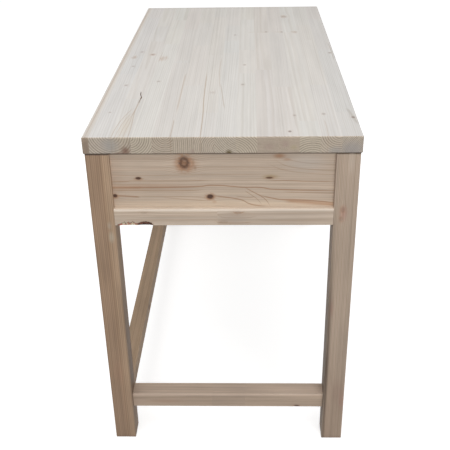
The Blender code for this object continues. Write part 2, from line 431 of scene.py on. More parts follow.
def timber(
    name, wood, grain, pith, box, ring=2.6, lean=(0, 0), seed=0.0,
    knots=(), veins=(), stains=(), joints=(), open_ends=False,
):
    """A material for one piece. pith is a point, box the piece's two corners."""
    material, shader, place = new_material(name)
    place = grain_place(place, grain)
    low, high = (in_grain(corner, grain) for corner in box)
    bowed = bent = bend(place, seed)
    for knot in knots:
        bent = flow_round(bent, knot, grain)
    beyond = [past_joint(place, joint, grain) for joint in joints]
    log = bent
    for past, joint in zip(beyond, joints):
        step = past * joint.shift * MM
        step = step.node("CombineXYZ", None, {1: step, 2: step})
        log = log.vector("ADD", log, step)
    summer, luck = summer_wood(ring_count(log, in_grain(pith, grain), lean, ring, seed))
    # No two rings match: on a long face some hardly show
    shown = summer * (luck * 0.65 + 0.35)

    fibre = place.noise((26, 850, 850), seed + 5)
    streak = place.noise((3.0, 170, 170), seed + 7, 3.0)
    cloud = place.noise((5, 24, 24), seed + 9)
    shade = (
        (fibre - 0.5) * 2 * wood.fibre + (streak - 0.5) * 2 * wood.streak
        + (cloud - 0.5) * 2 * wood.cloud + 1
    )

    # From an arris to the middle of a face, the second nearest pair of sides is what counts
    sides = [
        (place.axis(number) - low[number]).least(high[number] - place.axis(number))
        for number in (1, 2)
    ]
    arris = sides[0].most(sides[1]).ramp(0.0040, 0.0010) * cloud.ramp(0.32, 0.62) * wood.worn
    skin = (shown * wood.rings).paint(wood.early, wood.late)
    end = None
    if open_ends:
        end = (place.axis(0) - low[0]).least(high[0] - place.axis(0)).ramp(0.0026, 0.0016)
        cut = (summer * (luck * 0.4 + 0.6) * wood.end_rings).paint(wood.end_early, wood.end_late)
        skin = end.paint(skin, cut)
        arris = arris * (1 - end)
    for past, joint in zip(beyond, joints):
        skin = past.paint(skin, joint.tint, "MULTIPLY")
    for stain in stains:
        skin = patch_mask(bowed, stain, grain).paint(skin, stain.tint)
    for vein in veins:
        skin = vein_mask(place, vein, grain).paint(skin, vein.tint)
    dents = fibre * 0.25 + summer * 0.5
    if knots:
        wobble = place.noise((160, 240, 240), seed + 13)
        for knot in knots:
            core, rim, halo = knot_masks(place, knot, grain, wobble)
            skin = halo.paint(skin, HALO)
            skin = core.paint(skin, KNOT_WOOD)
            skin = rim.paint(skin, KNOT_RIM)
            dents = dents - rim * 0.9
    grey = shade.node("CombineColor", None, {0: shade, 1: shade, 2: shade})
    skin = (shade * 0 + 1).paint(skin, grey, "MULTIPLY")
    skin = (arris * 0.6).paint(skin, wood.arris)
    roughness = wood.rough - summer * 0.10 + (fibre - 0.5) * 0.2
    if open_ends:
        pits = place.noise((0, 1500, 1500), seed + 11).ramp(0.44, 0.28) * end
        skin = (pits * 0.35).paint(skin, DIRT_AND_SHADE)
        dents = dents - pits * 0.8
        roughness = roughness + end * 0.12
    bump = dents.node("Bump", None, {"Strength": 0.5, "Distance": 0.0005, "Height": dents})
    join(shader, Base_Color=skin, Roughness=roughness, Normal=bump)
    shader.inputs["Specular IOR Level"].default_value = 0.3
    return material


def dress(name, material):
    """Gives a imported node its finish."""
    nodes[name].data.materials.clear()
    nodes[name].data.materials.append(material)


print("timber ready")

# %% [markdown]
# Each stave of the worktop comes from another place in the log, so each has its own pith,
# measured here across from the back edge and down from the worktop. Where a heart lies
# inside its stave the cut end shows whole circles; where it is far off, nearly straight
# lines. The staves are themselves made of shorter blocks, and the blocks' tints differ a
# little: some are pinkish, some bluish, some cream.

# %% Staves
Stave = namedtuple("Stave", "across down ring tint lean", defaults=((1, 1, 1), (0, 0)))
STAVES = [
    Stave(-60, 80, 2.2, (0.95, 0.91, 0.87)),
    Stave(64, -15, 5.0, (0.985, 0.985, 0.99), (0.02, 0)),
    Stave(60, -7, 5.4, (0.97, 0.965, 0.955), (0.03, 0.01)),
    Stave(101, -3, 4.9, (1.00, 1.00, 0.985)),
    Stave(176, -6, 4.4, (0.97, 0.955, 0.94), (0.02, 0)),
    Stave(-20, 15, 4.3, (0.98, 0.97, 0.955)),
    Stave(292, 24, 4.0, (0.99, 0.98, 0.97)),
    Stave(350, -30, 4.2, (1.00, 1.00, 0.99), (0, 0.02)),
    Stave(318, 48, 4.6, (1.00, 0.995, 0.975)),
    Stave(380, 150, 2.2, (0.975, 0.95, 0.935)),
    Stave(470, -120, 2.2, (0.975, 0.95, 0.93)),
    Stave(492, 62, 4.9, (1.00, 1.00, 0.98), (0.02, 0)),
    Stave(546, -12, 4.8, (0.995, 0.985, 0.975)),
    Stave(640, 60, 3.2, (0.975, 0.97, 0.965)),
]
PINKISH = colour(1.003, 0.99, 0.984)
BLUISH = colour(0.985, 0.995, 1.0)
CREAM = colour(1.005, 1.0, 0.985)
GREYISH = colour(0.98, 0.978, 0.975)
TINTS = [PINKISH, BLUISH, CREAM, GREYISH, BLUISH, PINKISH]
TOP_BROWN = colour(0.40, 0.29, 0.20)
TOP_GREY = colour(0.42, 0.38, 0.33)


def top_knot(along, across, radius, core=0.18, rim=0.14, halo=0.15):
    return Knot(spot(along, across, 0), "z", radius, 1.4, core, rim, halo)


def top_vein(places, width, dark, tint=TOP_BROWN):
    return Vein([spot(along, across, 0) for along, across in places], "z", width, dark, tint)


TOP_KNOTS = {
    2: [top_knot(506, 42, 3), top_knot(345, 46, 3.5), top_knot(152, 37, 2.5),
        top_knot(644, 49, 3.5), top_knot(590, 33, 5, 0.05, 0.05, 0.3)],
    3: [top_knot(616, 83, 4.5, 0.25, 0.12, 0.45)],
    4: [top_knot(578, 114, 8, 0.04, 0.03, 0.3), top_knot(374, 126, 3.5)],
    7: [top_knot(285, 268, 4, 0.05, 0.08)],
    8: [top_knot(822, 316, 3, 0.15, 0.2)],
    9: [top_knot(511, 346, 3.5), top_knot(345, 342, 3.5)],
    10: [top_knot(855, 412, 3, 0.3, 0.2)],
    11: [top_knot(126, 461, 3), top_knot(30, 445, 3, 0.35, 0.35), top_knot(853, 461, 3.5, 0.25, 0.15)],
    12: [top_knot(1053, 475, 7, 0.2, 0.08, 0.4), top_knot(850, 500, 5, 0.05, 0.05, 0.35)],
    13: [top_knot(134, 527, 3.5)],
    14: [top_knot(112, 591, 3.5, 0.3, 0.3, 0.2), top_knot(620, 588, 4, 0.2, 0.2)],
}
TOP_VEINS = {
    1: [top_vein([(-5, 7), (300, 7), (700, 6), (1205, 8)], 3, 0.5)],
    3: [
        top_vein([(0, 64), (60, 66), (110, 72), (150, 80), (172, 86)], 1.6, 0.55),
        top_vein([(0, 72), (50, 74), (100, 79), (140, 86)], 1.4, 0.5),
        top_vein([(0, 80), (40, 82), (85, 85), (120, 89)], 1.3, 0.45),
        top_vein([(0, 100), (60, 99), (110, 96), (165, 93)], 1.6, 0.5),
        top_vein([(125, 91), (160, 93), (200, 95), (240, 96)], 2.6, 0.6),
        top_vein([(0, 90), (45, 90), (90, 92), (125, 90)], 1.4, 0.5),
    ],
    4: [top_vein([(545, 106), (590, 109), (640, 108)], 1.6, 0.4)],
    5: [
        top_vein([(165, 191), (260, 191), (340, 191), (430, 192)], 3.2, 0.45),
        top_vein([(-5, 190), (50, 190), (100, 189)], 1.8, 0.6),
    ],
    7: [
        top_vein([(-5, 254), (120, 253), (250, 249), (430, 247)], 1.9, 0.8),
        top_vein([(430, 247), (800, 246), (1205, 247)], 1.2, 0.4, TOP_GREY),
        top_vein([(-5, 262), (300, 260), (1205, 257)], 1.0, 0.45, TOP_GREY),
        top_vein([(-5, 271), (400, 268), (1205, 268)], 1.0, 0.4, TOP_GREY),
        top_vein([(330, 284), (400, 282), (470, 280), (560, 281)], 1.8, 0.45),
    ],
    8: [
        top_vein([(180, 300), (240, 295), (300, 290), (345, 286)], 1.8, 0.5),
        top_vein([(-5, 296), (500, 293), (1205, 296)], 1.0, 0.4, TOP_GREY),
        top_vein([(300, 305), (700, 304), (1205, 307)], 0.9, 0.3, TOP_GREY),
    ],
    13: [top_vein([(-5, 524), (50, 526), (95, 525)], 1.8, 0.4)],
    14: [
        top_vein([(75, 596), (105, 592), (140, 588), (165, 584)], 6.0, 0.55, TOP_GREY),
        top_vein([(560, 593), (640, 594), (720, 592)], 2.5, 0.6, TOP_GREY),
    ],
}
CUT_END_STAINS = {
    1: [Patch(spot(0, 6, 22), (9, 14, 40), colour(0.30, 0.23, 0.18), 0.85)],
    2: [Patch(spot(0, 58, 16), (9, 30, 26), colour(0.43, 0.40, 0.37), 0.8)],
    3: [Patch(spot(0, 58, 16), (9, 28, 26), colour(0.43, 0.40, 0.37), 0.8),
        Patch(spot(0, 90, 29), (9, 15, 16), colour(0.22, 0.125, 0.09), 0.85),
        Patch(spot(0, 76, 37), (9, 19, 8), colour(0.22, 0.13, 0.10), 0.75),
        Patch(spot(0, 103, 14), (9, 8, 16), colour(0.33, 0.27, 0.21), 0.5)],
    6: [Patch(spot(0, 238, 30), (9, 12, 10), colour(0.40, 0.27, 0.24), 0.5)],
    8: [Patch(spot(0, 312, 35), (9, 11, 13), colour(0.13, 0.09, 0.03), 0.9)],
    10: [Patch(spot(0, 398, 20), (9, 18, 12), colour(0.45, 0.33, 0.28), 0.5)],
    11: [Patch(spot(0, 432, 14), (9, 14, 12), colour(0.43, 0.31, 0.27), 0.55),
         Patch(spot(0, 450, 22), (9, 12, 10), colour(0.47, 0.39, 0.25), 0.5)],
    13: [Patch(spot(0, 540, 30), (9, 26, 16), colour(0.37, 0.345, 0.33), 0.6)],
    14: [Patch(spot(0, 575, 26), (9, 40, 28), colour(0.36, 0.335, 0.33), 0.65)],
}
# Where three staves' joints happen to line up, and two browner patches round old branches
CROSS_LINE = 853
RESIN = colour(0.50, 0.40, 0.29)
TOP_STAINS = {
    2: [Patch(spot(595, 33, 0), (30, 6, 9), RESIN, 0.45)],
    3: [Patch(spot(70, 84, 0), (120, 20, 9), colour(0.60, 0.51, 0.39), 0.4)],
    4: [Patch(spot(572, 113, 0), (36, 5, 9), RESIN, 0.4),
        Patch(spot(585, 123, 0), (34, 4, 9), RESIN, 0.45)],
    9: [Patch(spot(CROSS_LINE, 362, 0), (5, 16, 9), RESIN, 0.35)],
    10: [Patch(spot(CROSS_LINE, 400, 0), (5, 26, 9), RESIN, 0.35)],
    11: [Patch(spot(CROSS_LINE, 450, 0), (5, 24, 9), RESIN, 0.45)],
    12: [Patch(spot(CROSS_LINE, 500, 0), (5, 24, 9), RESIN, 0.55)],
}
JOINT_PLACES = {10: (470, CROSS_LINE), 11: (330, CROSS_LINE), 12: (95, CROSS_LINE)}


def stave_joints(number):
    """Two or three joints along a stave, each with the tint of the block beyond it."""
    usual = (150 + 97 * (number * 5 % 7), 560 + 50 * (number * 3 % 5), 900 + 40 * (number * 2 % 5))
    return [
        Joint(spot(along, 0, 0), "x", TINTS[(number * 2 + turn) % len(TINTS)], 31 - 17 * turn)
        for turn, along in enumerate(JOINT_PLACES.get(number, usual))
    ]


def tinted(paint, tint):
    return colour(*(channel * share for channel, share in zip(paint, tint)))


def stave_wood(number, name):
    stave = STAVES[number - 1]
    wood = BLEACHED._replace(
        early=tinted(BLEACHED.early, stave.tint), late=tinted(BLEACHED.late, stave.tint),
        end_early=tinted(tinted(BLEACHED.end_early, stave.tint), stave.tint),
    )
    # Painted shade: a dark band along the stave's lower arris, where the gap under the worktop lies in
    # shadow
    shade_under_arris = Patch(
        spot(0, stave.across, (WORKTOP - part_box(name)[0].z) / MM), (9, 4000, 5.5), DIRT_AND_SHADE, 0.97
    )
    return timber(
        name, wood, "x", spot(0, stave.across, stave.down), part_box(name), ring=stave.ring,
        lean=stave.lean, seed=number * 2.3, knots=TOP_KNOTS.get(number, ()),
        veins=TOP_VEINS.get(number, ()), joints=stave_joints(number) if number > 1 else (),
        stains=CUT_END_STAINS.get(number, []) + TOP_STAINS.get(number, []) + [shade_under_arris],
        open_ends=True,
    )


for number in range(1, len(STAVES) + 1):
    name = f"top_stave_{number:02d}"
    dress(name, stave_wood(number, name))
print(len(STAVES), "staves finished")

# %% [markdown]
# The panel at the left end has the bench's boldest figure: a big sound knot high up with
# red resin round it, four small dead ones, and hard brown summer layers that sweep down
# round an old branch and meet in a V.

# %% Left panel


def panel_knot(across, down, radius, long, core=0.85, rim=0.6, halo=0.6):
    return Knot(spot(0, across, down), "x", radius, long, core, rim, halo)


def panel_vein(places, width, dark, tint=VEIN_BROWN):
    return Vein([spot(0, across, down) for across, down in places], "x", width, dark, tint)


def panel_patch(across, down, wide, tall, tint, strength):
    return Patch(spot(0, across, down), (60, wide, tall), tint, strength)


LEFT_PANEL_KNOTS = [
    panel_knot(216, 64, 12, 0.80, 0.6, 0.66, 1.0),
    panel_knot(114, 101, 2.6, 1.9, 0.95, 0.8, 0.6),
    panel_knot(59, 144, 3.4, 1.3, 0.95, 0.85, 0.9),
    panel_knot(271, 147, 4.6, 1.3, 0.95, 0.9, 1.0),
    panel_knot(402, 101, 1.9, 3.4, 0.85, 0.5, 0.5),
]
LINE = colour(0.37, 0.215, 0.125)
LEFT_PANEL_VEINS = [
    panel_vein([(56, 109), (82, 109), (105, 107), (155, 108), (205, 108), (262, 107)], 2.4, 0.55, LINE),
    panel_vein([(402, 108), (440, 108), (480, 110), (540, 111)], 2.4, 0.6, LINE),
    panel_vein([(50, 124), (85, 124), (118, 124)], 5.0, 0.55, HALO),
    panel_vein([(56, 124), (115, 124), (205, 123), (255, 121), (272, 119), (322, 122), (352, 124),
                (372, 124), (408, 129), (545, 133)], 2.6, 0.85, LINE),
    panel_vein([(56, 131), (110, 131), (155, 132), (245, 131)], 2.2, 0.65, LINE),
    panel_vein([(66, 144), (85, 145), (112, 147)], 3.6, 0.8, LINE),
    panel_vein([(112, 145), (180, 146), (262, 148)], 2.0, 0.5, LINE),
    panel_vein([(170, 149), (210, 153), (262, 157)], 2.0, 0.5, LINE),
    panel_vein([(280, 145), (302, 148), (322, 151), (342, 156), (356, 164), (368, 168),
                (390, 171)], 2.6, 0.8, LINE),
    panel_vein([(352, 127), (365, 135), (382, 145), (395, 156), (402, 167)], 2.2, 0.8, LINE),
    panel_vein([(350, 134), (365, 145), (375, 153), (384, 165)], 1.8, 0.6, LINE),
    panel_vein([(330, 146), (345, 148), (358, 149), (368, 146)], 1.8, 0.5, LINE),
    panel_vein([(385, 145), (408, 151), (432, 155), (472, 156), (550, 164)], 2.6, 0.85, LINE),
    panel_vein([(440, 158), (490, 162), (550, 168)], 8.0, 0.7, HALO),
    panel_vein([(438, 136), (490, 138), (548, 140)], 2.0, 0.5, LINE),
    panel_vein([(422, 64), (448, 75), (488, 81), (548, 85)], 2.0, 0.4, LINE),
    panel_vein([(408, 72), (440, 84), (480, 90), (548, 94)], 1.8, 0.35, LINE),
    panel_vein([(440, 56), (470, 64), (505, 68), (548, 70)], 1.8, 0.35, LINE),
    panel_vein([(112, 74), (200, 76), (300, 75), (420, 78)], 1.8, 0.3, LINE),
    panel_vein([(52, 92), (150, 94), (250, 93), (380, 93)], 1.8, 0.4, LINE),
    panel_vein([(52, 55), (120, 54), (190, 56)], 1.8, 0.3, LINE),
    panel_vein([(250, 115), (330, 116), (420, 117), (548, 121)], 1.8, 0.3, LINE),
    panel_vein([(52, 160), (150, 162), (330, 163)], 2.0, 0.3, LINE),
]
LEFT_PANEL_STAINS_AND_SHADE = [
    panel_patch(221, 65, 36, 28, HALO, 0.75),
    panel_patch(236, 62, 5, 12, VEIN_BROWN, 0.4),
    panel_patch(240, 74, 5, 8, VEIN_BROWN, 0.45),
    panel_patch(423, 46, 22, 10, HALO, 0.9),
    panel_patch(440, 55, 14, 6, HALO, 0.7),
    panel_patch(404, 96, 28, 9, colour(0.42, 0.29, 0.15), 0.7),
    panel_patch(280, 157, 8, 6, HALO, 0.9),
    panel_patch(270, 147, 17, 9, HALO, 0.75),
    panel_patch(114, 100, 15, 6, HALO, 0.6),
    panel_patch(60, 144, 14, 7, HALO, 0.6),
    panel_patch(130, 119, 170, 12, HALO, 0.45),
    panel_patch(300, 162, 420, 18, colour(0.74, 0.60, 0.45), 0.6),
    panel_patch(320, 137, 110, 8, colour(0.70, 0.57, 0.44), 0.5),
    panel_patch(480, 62, 70, 34, colour(0.60, 0.545, 0.49), 0.5),
    panel_patch(60, 100, 40, 90, colour(0.44, 0.31, 0.22), 0.35),
    # Painted shade: a dark band along the top, under the worktop's overhang, and a short dark strip at
    # the top of the edge by the front leg
    panel_patch(300, 38, 1500, 5.5, DIRT_AND_SHADE, 0.95),
    panel_patch(548, 44, 2.6, 12, DIRT_AND_SHADE, 0.95),
]
dress("left_panel", timber(
    "left_panel", PANEL, "y", spot(40, 0, -60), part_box("left_panel"), ring=4.2, seed=4.0,
    knots=LEFT_PANEL_KNOTS, veins=LEFT_PANEL_VEINS, stains=LEFT_PANEL_STAINS_AND_SHADE,
))
print(len(LEFT_PANEL_VEINS), "veins in the left panel")

# %% [markdown]
# The rest of the frame is plainer. The legs are laminated: the left one by the back edge
# shows its glue line two thirds of the way across, with browner wood on one side of it. All
# of them carry painted shade: darker towards the floor, and a dark band under the worktop.

# %% Legs, rails, stretchers and panels


def plain(name, wood, grain, pith, seed, **more):
    dress(name, timber(name, wood, grain, pith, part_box(name), seed=seed, **more))


def foot_stains(name):
    """Painted shade: darker towards the floor, most in the last 14 mm, and a dark band under the
    worktop.
    """
    low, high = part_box(name)
    middle = (low + high) / 2
    foot = Vector((middle.x, middle.y, low.z))
    head = Vector((middle.x, middle.y, high.z))
    return [
        Patch(foot, (200, 200, 420), colour(0.30, 0.20, 0.14), 0.35),
        Patch(foot, (200, 200, 14), colour(0.20, 0.14, 0.10), 0.45),
        Patch(head, (400, 400, 5.0), DIRT_AND_SHADE, 0.9),
    ]


plain(
    "leg_back_left", BROWN, "z", spot(10, -150, 0), 10.0, ring=4.2, open_ends=True,
    joints=[Joint(spot(0, 37, 0), "y", colour(0.88, 0.86, 0.86), 12)],
    stains=foot_stains("leg_back_left") + [
        Patch(spot(0, 42, 245), (60, 10, 22), colour(0.52, 0.46, 0.36), 0.6),
        Patch(spot(0, 40, 215), (60, 8, 14), colour(0.50, 0.44, 0.35), 0.45),
        Patch(spot(0, 20, 330), (60, 14, 60), colour(0.28, 0.19, 0.13), 0.35),
        Patch(spot(0, 25, 640), (60, 20, 60), colour(0.40, 0.24, 0.16), 0.35),
        # Painted shade: the inner face, towards the front leg, is painted dark
        Patch(spot(27, 55, 640), (150, 6, 520), colour(0.13, 0.09, 0.065), 0.9),
    ],
    veins=[Vein([spot(0, 37, 30), spot(0, 37, 400), spot(0, 36, 870)], "x", 1.0, 0.7)],
)
plain(
    "leg_front_left", DULL, "z", spot(-10, 760, 0), 12.0, ring=3.3, open_ends=True,
    knots=[Knot(spot(0, 565, 176), "x", 4, 1.6, 0.1, 0.15, 0.4),
           Knot(spot(0, 562, 199), "x", 3, 1.8, 0.1, 0.12, 0.4)],
    stains=foot_stains("leg_front_left") + [
        Patch(spot(0, 564, 186), (60, 13, 30), colour(0.48, 0.285, 0.23), 0.6),
        Patch(spot(0, 549, 445), (60, 8, 40), colour(0.42, 0.25, 0.20), 0.55),
        Patch(spot(0, 588, 725), (60, 12, 50), colour(0.42, 0.25, 0.20), 0.5),
        Patch(spot(0, 575, 60), (60, 10, 40), colour(0.56, 0.48, 0.40), 0.4),
        Patch(spot(0, 575, 700), (60, 24, 60), colour(0.34, 0.23, 0.18), 0.4),
        # Painted shade: the inner face, towards the back leg, is painted dark
        Patch(spot(27, 545, 640), (150, 8, 520), colour(0.10, 0.07, 0.05), 0.95),
    ],
)
plain("leg_back_right", BROWN, "z", spot(1240, 60, 0), 14.0, open_ends=True,
      stains=foot_stains("leg_back_right"),
      knots=[Knot(spot(0, 0, 420) + Vector((1.17, 0, 0)), "y", 5, 1.4)])
plain("leg_front_right", DULL, "z", spot(1150, 640, 0), 16.0, open_ends=True,
      stains=foot_stains("leg_front_right"),
      knots=[Knot(spot(0, 580, 560), "x", 6, 1.3)])
plain("left_stretcher", DULL._replace(early=colour(0.54, 0.42, 0.325)), "y", spot(60, 0, 640), 8.0,
      joints=[Joint(spot(0, 344, 0), "y", colour(0.95, 0.95, 0.96), 20),
              Joint(spot(0, 258, 0), "y", colour(1.05, 1.04, 1.03), -15)],
      # Painted highlight: the top face is painted paler where light from above falls on it
      stains=[Patch(spot(33, 300, 718), (200, 1500, 7), colour(0.68, 0.53, 0.42), 0.8),
              Patch(spot(20, 140, 740), (60, 70, 9), colour(0.42, 0.27, 0.19), 0.45)],
      knots=[Knot(spot(0, 478, 757), "x", 2.5, 2.5)])
plain("back_stretcher", BROWN._replace(early=colour(0.51, 0.365, 0.245)), "x",
      spot(0, -30, 700), 18.0,
      knots=[Knot(spot(420, 0, 738), "y", 6, 1.3), Knot(spot(860, 0, 745), "y", 4, 1.5)])
plain("right_stretcher", DULL, "y", spot(1150, 0, 800), 26.0)
plain("back_rail", BARE, "x", spot(0, 60, 240), 20.0, joints=[
    Joint(spot(640, 0, 0), "x", colour(0.94, 0.94, 0.95), 20)])
plain("front_rail", BARE, "x", spot(0, 640, 180), 22.0, joints=[
    Joint(spot(380, 0, 0), "x", colour(1.04, 1.02, 1.0), 24)])
plain("right_rail", BARE, "y", spot(1260, 0, 170), 24.0)


def long_panel(name, seed, knots):
    """A side panel under the worktop's long edge, with its knots as (along, down, radius)."""
    axis_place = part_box(name)[1].y
    plain(name, PANEL, "x", spot(0, (BACK_EDGE - axis_place) / MM, -70), seed, ring=4.0,
          knots=[Knot(spot(along, 0, down), "y", radius, 1.3) for along, down, radius in knots],
          veins=[Vein([spot(along, 0, down + 14 + 5 * math.sin(along * 0.006 + seed + down))
                       for along in range(40, 1200, 120)], "y", 1.5, 0.6)
                 for down in (52, 75, 96, 118)])


long_panel("front_panel", 30.0, [(240, 92, 7), (610, 70, 4), (905, 130, 8), (1040, 74, 3)])
long_panel("back_panel", 32.0, [(330, 120, 6), (540, 66, 5), (760, 95, 9)])
plain("right_panel", PANEL, "y", spot(1160, 0, 260), 28.0, ring=4.0,
      knots=[Knot(spot(0, 170, 84), "x", 7, 1.2), Knot(spot(0, 420, 128), "x", 5, 1.4)],
      veins=[Vein([spot(0, across, down + 4 * math.sin(across * 0.012 + down))
                   for across in range(50, 560, 60)], "x", 1.5, 0.6) for down in (66, 98, 112, 150)])
for number, side in enumerate(("left", "right")):
    plain(side + "_cleat", BARE, "y", spot(600, 0, 90), 34.0 + number)
for number, side in enumerate(("front", "back")):
    plain(side + "_cleat", BARE, "x", spot(0, 300, 90), 36.0 + number)
print("frame finished")

# %% [markdown]
# Three kinds of piece have a surface that no flat face can stand for, so they are modelled
# again: the rail with a strip of bark left on its edge, the stave with an open crack, and
# the screws. Each is made in its own place in the model, rides on its one body, and says
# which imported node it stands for.

# %% New pieces


def bar(low, high):
    """A plain bar between two corners."""
    bm = bmesh.new()
    shape = Matrix.Translation((low + high) / 2) @ Matrix.Diagonal((*(high - low), 1))
    bmesh.ops.create_cube(bm, size=1, matrix=shape)
    return bm


def ease(bm, along, reach):
    """Rounds the edges that run along one axis."""
    edges = [e for e in bm.edges if abs((e.verts[0].co - e.verts[1].co).normalized()[along]) > 0.99]
    bmesh.ops.bevel(
        bm, geom=edges, offset=reach, segments=3, profile=0.5, affect="EDGES", material=-1,
    )


def slices(bm, axis, places):
    """Cuts the mesh across an axis at each place, so that it can be shaped there."""
    normal = [0, 0, 0]
    normal[axis] = 1
    for place in places:
        point = [0, 0, 0]
        point[axis] = place
        geometry = bm.verts[:] + bm.edges[:] + bm.faces[:]
        bmesh.ops.bisect_plane(bm, geom=geometry, plane_co=point, plane_no=normal, dist=1e-6)


def stand_in(bm, node, materials):
    """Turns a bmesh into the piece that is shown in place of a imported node."""
    bmesh.ops.remove_doubles(bm, verts=bm.verts, dist=1e-6)
    bmesh.ops.recalc_face_normals(bm, faces=bm.faces)
    mesh = bpy.data.meshes.new(node + "_piece")
    bm.to_mesh(mesh)
    bm.free()
    for material in materials:
        mesh.materials.append(material)
    piece = bpy.data.objects.new(node + "_piece", mesh)
    bpy.context.scene.collection.objects.link(piece)
    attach(piece, "root")
    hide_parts(node)
    return piece


def steps(start, end, step):
    return [start + step * number for number in range(round((end - start) / step) + 1)]


print("tools for new pieces ready")

# %% [markdown]
# The left rail was sawn so near the outside of the log that its lower edge still has the
# log's own round surface, called wane. A little dark bark clings to one end of it, and the
# rest has splintered. Cutting the bar into thin slices there and pushing their corners in,
# by an amount that wanders, gives both.

# %% Left rail with wane
from mathutils import noise

BARK_FROM, BARK_TO, BARK_REACH = 105, 141, 10.5
SPLINTERS_FROM, SPLINTERS_TO, SPLINTERS_REACH = 60, 114, 8.5
# How far the wane leans back for each millimetre that it drops
BARK_LEAN, SPLINTERS_LEAN = 0.30, 0.42
# Where the bark breaks off it leaves a low step
BARK_THICK = 1.2
TENON, SHOULDER, RAIL_EASE = 22 * MM, 14 * MM, 1.5 * MM
SHAPED_FROM, SHAPED_TO, WANE_STEP = 60, 145, 1.25
WANE_TALL = 12


def hump(across, start, end):
    """A rounded hill, 0 at both ends and 1 in the middle."""
    share = (across - start) / (end - start)
    return math.sqrt(max(0.0, 1 - (2 * share - 1) ** 2))


def wane_push(across, up):
    """How far the face is pushed back at a height above the rail's lower edge, both in mm."""
    ragged = noise.noise((across * 0.35, 0.5, 0)) + 0.6 * noise.noise((across * 0.9, 3.5, 0))
    bark = BARK_REACH * hump(across, BARK_FROM, BARK_TO) * (1 + 0.1 * ragged) - up
    splinters = SPLINTERS_REACH * hump(across, SPLINTERS_FROM, SPLINTERS_TO) * (1 + 0.7 * ragged) - up
    return max(bark * BARK_LEAN + (BARK_THICK if bark > 0 else 0), splinters * SPLINTERS_LEAN, 0)


low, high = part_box("left_rail")
low.y, high.y = low.y + TENON, high.y - TENON
bm = bar(low, high)
ease(bm, 1, RAIL_EASE)
slices(bm, 1, [BACK_EDGE - across * MM for across in steps(SHAPED_FROM, SHAPED_TO, WANE_STEP)])
slices(bm, 2, [low.z + up * MM for up in steps(1, WANE_TALL, 1)])
wane = set()
for vert in bm.verts:
    across = (BACK_EDGE - vert.co.y) / MM
    push = wane_push(across, (vert.co.z - low.z) / MM)
    into = (vert.co.x - low.x) / MM
    if push > into:
        rough = 0.4 * noise.noise(vert.co * 500)
        vert.co.x = low.x + (push + rough) * MM
        wane.add(vert)
for face in bm.faces:
    moved = sum(vert in wane for vert in face.verts)
    if moved and face.normal.x < -0.2:
        across = (BACK_EDGE - face.calc_center_median().y) / MM
        # The torn rim of the splinters is as dark as the bark
        face.material_index = 1 if across > BARK_FROM + 1 or moved < 3 else 2
for end in (low.y, high.y):
    shoulder = [f for f in bm.faces if all(abs(v.co.y - end) < 1e-6 for v in f.verts)]
    bmesh.ops.inset_region(bm, faces=shoulder, thickness=SHOULDER, use_even_offset=True)
    grown = bmesh.ops.extrude_face_region(bm, geom=shoulder)["geom"]
    out = Vector((0, math.copysign(TENON, end), 0))
    bmesh.ops.translate(bm, verts=[v for v in grown if isinstance(v, bmesh.types.BMVert)], vec=out)
    bmesh.ops.delete(bm, geom=shoulder, context="FACES")
print("wane faces:", sum(face.material_index > 0 for face in bm.faces))

bark, shader, place = new_material("bark")
crust = place.noise((220, 150, 300), 2.0, 4.0)
skin = crust.ramp(0.45, 0.66).paint(colour(0.045, 0.024, 0.017), colour(0.26, 0.10, 0.06))
join(shader, Base_Color=skin, Roughness=crust * 0.2 + 0.75,
     Normal=crust.node("Bump", None, {"Strength": 1.0, "Distance": 0.001, "Height": crust}))
splinters, shader, place = new_material("splinters")
strands = place.noise((900, 60, 900), 4.0, 3.0)
patches = place.noise((130, 130, 130), 6.0, 2.0)
skin = strands.ramp(0.35, 0.7).paint(colour(0.74, 0.60, 0.40), colour(0.92, 0.86, 0.66))
skin = patches.ramp(0.46, 0.58).paint(skin, colour(0.60, 0.24, 0.17))
join(shader, Base_Color=skin, Roughness=strands * 0.2 + 0.65,
     Normal=strands.node("Bump", None, {"Strength": 1.0, "Distance": 0.0008, "Height": strands}))
rail_wood = timber(
    "left_rail", BARE, "y", spot(-90, 0, 210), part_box("left_rail"), seed=6.0, ring=3.4,
    joints=[Joint(spot(0, 283, 0), "y", colour(1.03, 1.03, 1.02), 20)],
    knots=[Knot(spot(0, 332, 183), "x", 4, 2.2, 0.2, 0.0, 0.2),
           Knot(spot(0, 300, 206), "x", 4, 2.6, 0.15, 0.0, 0.15),
           Knot(spot(0, 122, 182), "x", 3, 2.6, 0.15, 0.0, 0.1)],
    veins=[Vein([spot(0, across, down) for across, down in line], "x", 2.0, dark, LINE)
           for line, dark in (
               ([(322, 180), (332, 183), (345, 181)], 0.6), ([(290, 190), (330, 196), (370, 192)], 0.4),
               ([(285, 206), (320, 209), (360, 207)], 0.5), ([(60, 188), (150, 189), (280, 187)], 0.35),
               ([(80, 198), (170, 200), (280, 199)], 0.3), ([(380, 200), (450, 202), (540, 201)], 0.3),
           )],
    stains=[Patch(spot(0, 323, 195), (60, 50, 26), colour(0.45, 0.38, 0.32), 0.4),
            # Painted highlight: the ledge on top of the rail is painted pale where light from above
            # falls on it
            Patch(spot(0, 300, 173), (90, 1500, 4), colour(0.98, 0.85, 0.72), 1.0),
            Patch(spot(0, 123, 207), (60, 26, 9), HALO, 0.4)],
)
stand_in(bm, "left_rail", [rail_wood, bark, splinters])

# %% [markdown]
# The third stave has dried out and opened along its grain. The crack wanders from block to
# block of fibres, is widest in the middle and runs out to nothing at both ends. It is cut
# into the face as a narrow trench, whose walls are dark with old dirt.

# %% Cracked stave
CRACKED = 3
